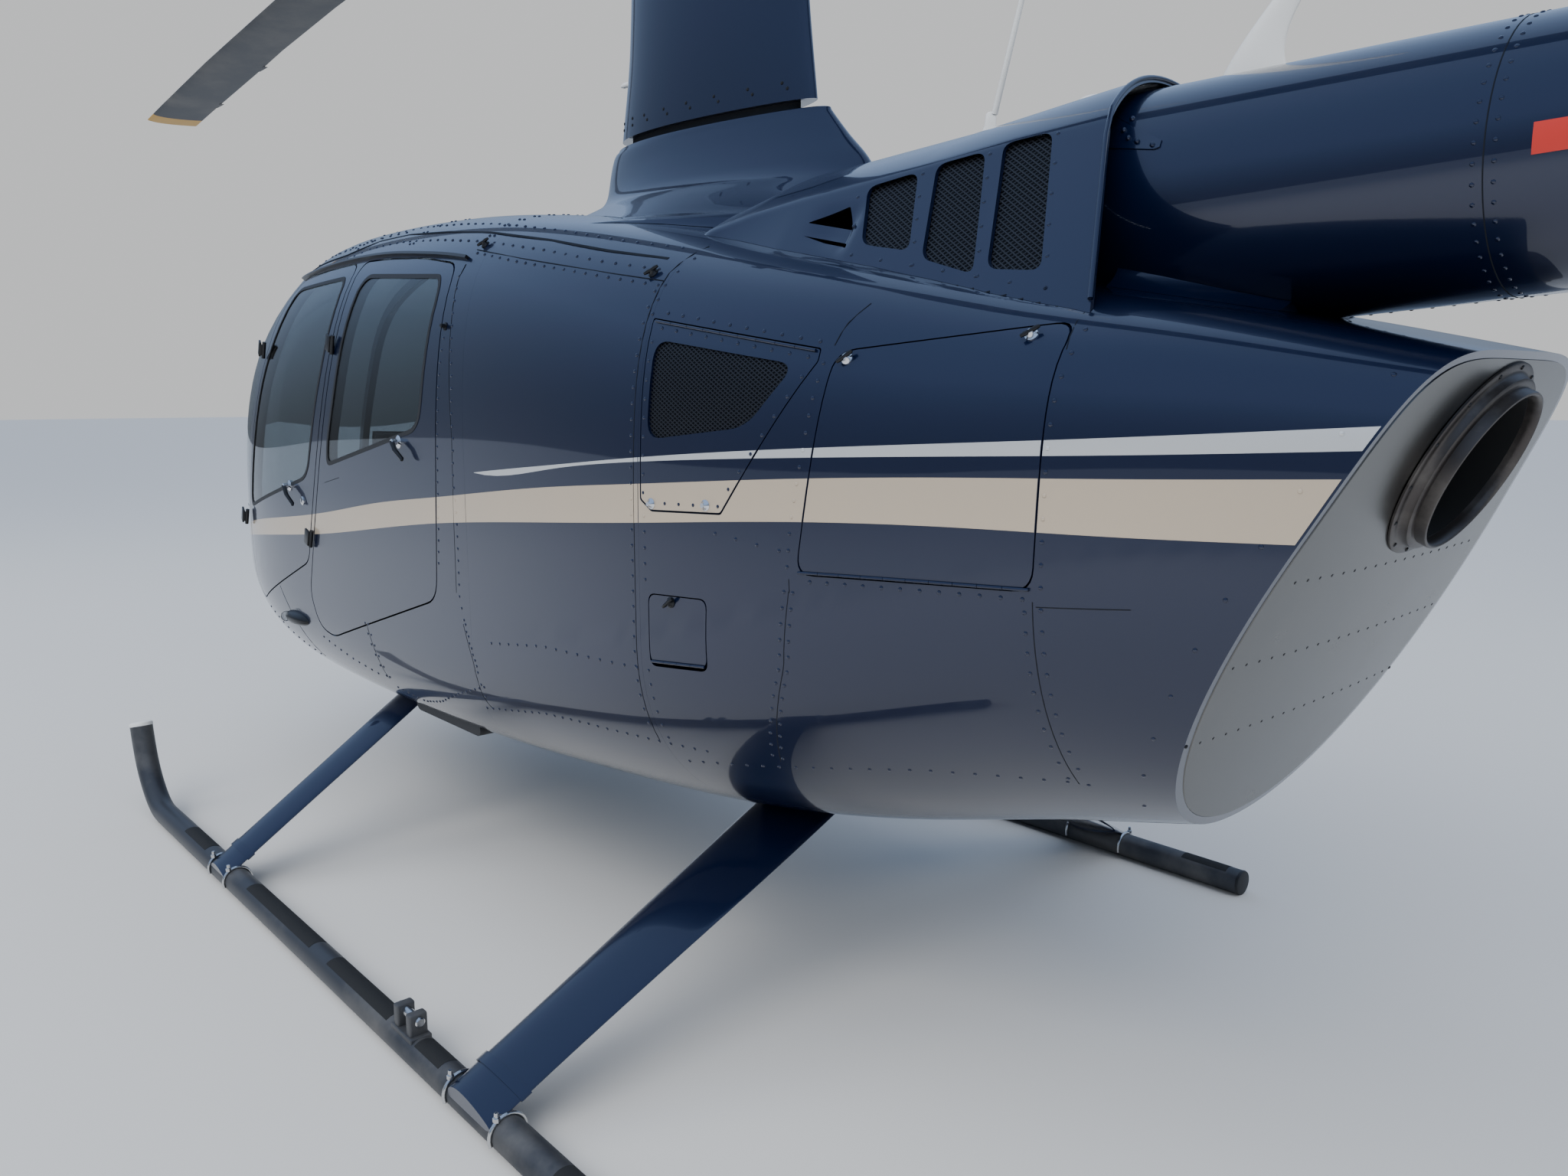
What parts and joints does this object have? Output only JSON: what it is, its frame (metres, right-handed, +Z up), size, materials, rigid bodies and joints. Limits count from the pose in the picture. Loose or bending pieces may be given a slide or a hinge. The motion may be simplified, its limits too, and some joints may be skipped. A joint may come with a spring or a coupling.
{
  "type": "light turbine helicopter",
  "caption": "Light closed-cabin helicopter on skids, with a two-blade main rotor on a tall faired mast, a slim tail cone and hinged cabin and engine doors.",
  "frame": {"origin": "on the ground, under the middle of the bounding box; the rotor mast stands 0.8515 m ahead of it", "axes": "+X forward to the nose, +Y to the aircraft's left, +Z up"},
  "size_m": [11.764, 2.368, 3.48],
  "materials": {
    "navy_paint": "gloss clear coat over deep blue metallic paint, with pale stripes along the sides",
    "window_glass": "lightly tinted clear acrylic",
    "polished_steel": "polished sheet with rivet rows",
    "dark_steel": "heat-stained dark metal",
    "blade_coat": "matte charcoal",
    "skid_coat": "satin dark grey with grip strips",
    "screen_mesh": "fine black woven mesh",
    "white_paint": "gloss white",
    "seat_leather": "stitched leather",
    "cabin_plastic": "fine grained black",
    "lamp_glass": "clear lens",
    "red_lens": "clear red lens"
  },
  "bodies": {
    "airframe": {"cabin_shell": "navy_paint", "windscreen_left": "window_glass", "windscreen_right": "window_glass", "middle_body": "navy_paint", "engine_cowling": "navy_paint", "aft_panel": "polished_steel", "exhaust_pipe": "dark_steel", "engine_block": "dark_steel", "upper_cowling": "navy_paint", "cowling_screen_left": "screen_mesh", "cowling_screen_right": "screen_mesh", "fairing_base": "navy_paint", "mast_fairing": "navy_paint", "tail_cone": "navy_paint", "tail_gearbox": "navy_paint", "upper_fin": "navy_paint", "stabilizer": "navy_paint", "lower_fin": "navy_paint", "tail_rotor_guard": "white_paint", "skid_left": "skid_coat", "skid_right": "skid_coat", "strut_front_left": "navy_paint", "strut_front_right": "navy_paint", "strut_rear_left": "navy_paint", "strut_rear_right": "navy_paint", "seat_front_left": "seat_leather", "seat_front_right": "seat_leather", "rear_bench": "seat_leather", "instrument_console": "cabin_plastic", "cyclic_stick": "cabin_plastic", "whip_antenna": "white_paint", "disc_antenna": "white_paint", "blade_antenna": "white_paint", "tail_beacon": "red_lens", "nose_lamp_left": "lamp_glass", "nose_lamp_right": "lamp_glass"},
    "main_rotor": {"rotor_mast": "polished_steel", "swashplate": "polished_steel", "rotor_hub": "dark_steel", "main_blade_front": "blade_coat", "main_blade_rear": "blade_coat"},
    "tail_rotor": {"tail_rotor_hub": "dark_steel", "tail_blade_upper": "white_paint", "tail_blade_lower": "white_paint"},
    "door_front_left": {"front_door_left": "navy_paint", "front_window_left": "window_glass"},
    "door_front_right": {"front_door_right": "navy_paint", "front_window_right": "window_glass"},
    "door_rear_left": {"rear_door_left": "navy_paint", "rear_window_left": "window_glass"},
    "door_rear_right": {"rear_door_right": "navy_paint", "rear_window_right": "window_glass"},
    "intake_flap_left": {"intake_door_left": "navy_paint", "intake_screen_left": "screen_mesh"},
    "intake_flap_right": {"intake_door_right": "navy_paint", "intake_screen_right": "screen_mesh"},
    "engine_flap_left": {"engine_door_left": "navy_paint"},
    "engine_flap_right": {"engine_door_right": "navy_paint"},
    "access_flap_left": {"access_door_left": "navy_paint"}
  },
  "joints": [
    {"name": "main_rotor_spin", "type": "hinge", "parent": "airframe", "child": "main_rotor", "pos_m": [0.8515, 0, 3.38], "axis": [0, 0, 1], "continuous": true},
    {"name": "tail_rotor_spin", "type": "hinge", "parent": "airframe", "child": "tail_rotor", "pos_m": [-5.0185, 0.262, 2.032], "axis": [0, 1, 0], "continuous": true},
    {"name": "front_door_left_hinge", "type": "hinge", "parent": "airframe", "child": "door_front_left", "pos_m": [2.6175, 0.709, 1.05], "axis": [0.3743, 0.0338, -0.9267], "range_deg": [0, 65]},
    {"name": "front_door_right_hinge", "type": "hinge", "parent": "airframe", "child": "door_front_right", "pos_m": [2.6175, -0.709, 1.05], "axis": [-0.3743, 0.0338, 0.9267], "range_deg": [0, 65]},
    {"name": "rear_door_left_hinge", "type": "hinge", "parent": "airframe", "child": "door_rear_left", "pos_m": [1.8575, 0.7464, 1.04], "axis": [0.3312, 0.0369, -0.9428], "range_deg": [0, 65]},
    {"name": "rear_door_right_hinge", "type": "hinge", "parent": "airframe", "child": "door_rear_right", "pos_m": [1.8575, -0.7464, 1.04], "axis": [-0.3312, 0.0369, 0.9428], "range_deg": [0, 65]},
    {"name": "intake_flap_left_hinge", "type": "hinge", "parent": "airframe", "child": "intake_flap_left", "pos_m": [-0.0265, 0.6752, 1.683], "axis": [0.9837, 0.0943, 0.153], "range_deg": [0, 95]},
    {"name": "intake_flap_right_hinge", "type": "hinge", "parent": "airframe", "child": "intake_flap_right", "pos_m": [-0.0265, -0.6752, 1.683], "axis": [-0.9837, 0.0943, -0.153], "range_deg": [0, 95]},
    {"name": "engine_flap_left_hinge", "type": "hinge", "parent": "airframe", "child": "engine_flap_left", "pos_m": [-0.4665, 0.6728, 1.192], "axis": [-0.9824, -0.1825, 0.0387], "range_deg": [0, 115]},
    {"name": "engine_flap_right_hinge", "type": "hinge", "parent": "airframe", "child": "engine_flap_right", "pos_m": [-0.4665, -0.6728, 1.192], "axis": [0.9824, -0.1825, -0.0387], "range_deg": [0, 115]},
    {"name": "access_flap_left_hinge", "type": "hinge", "parent": "airframe", "child": "access_flap_left", "pos_m": [-0.0445, 0.7141, 0.95], "axis": [-0.9886, -0.1295, 0.0774], "range_deg": [0, 110]}
  ]
}
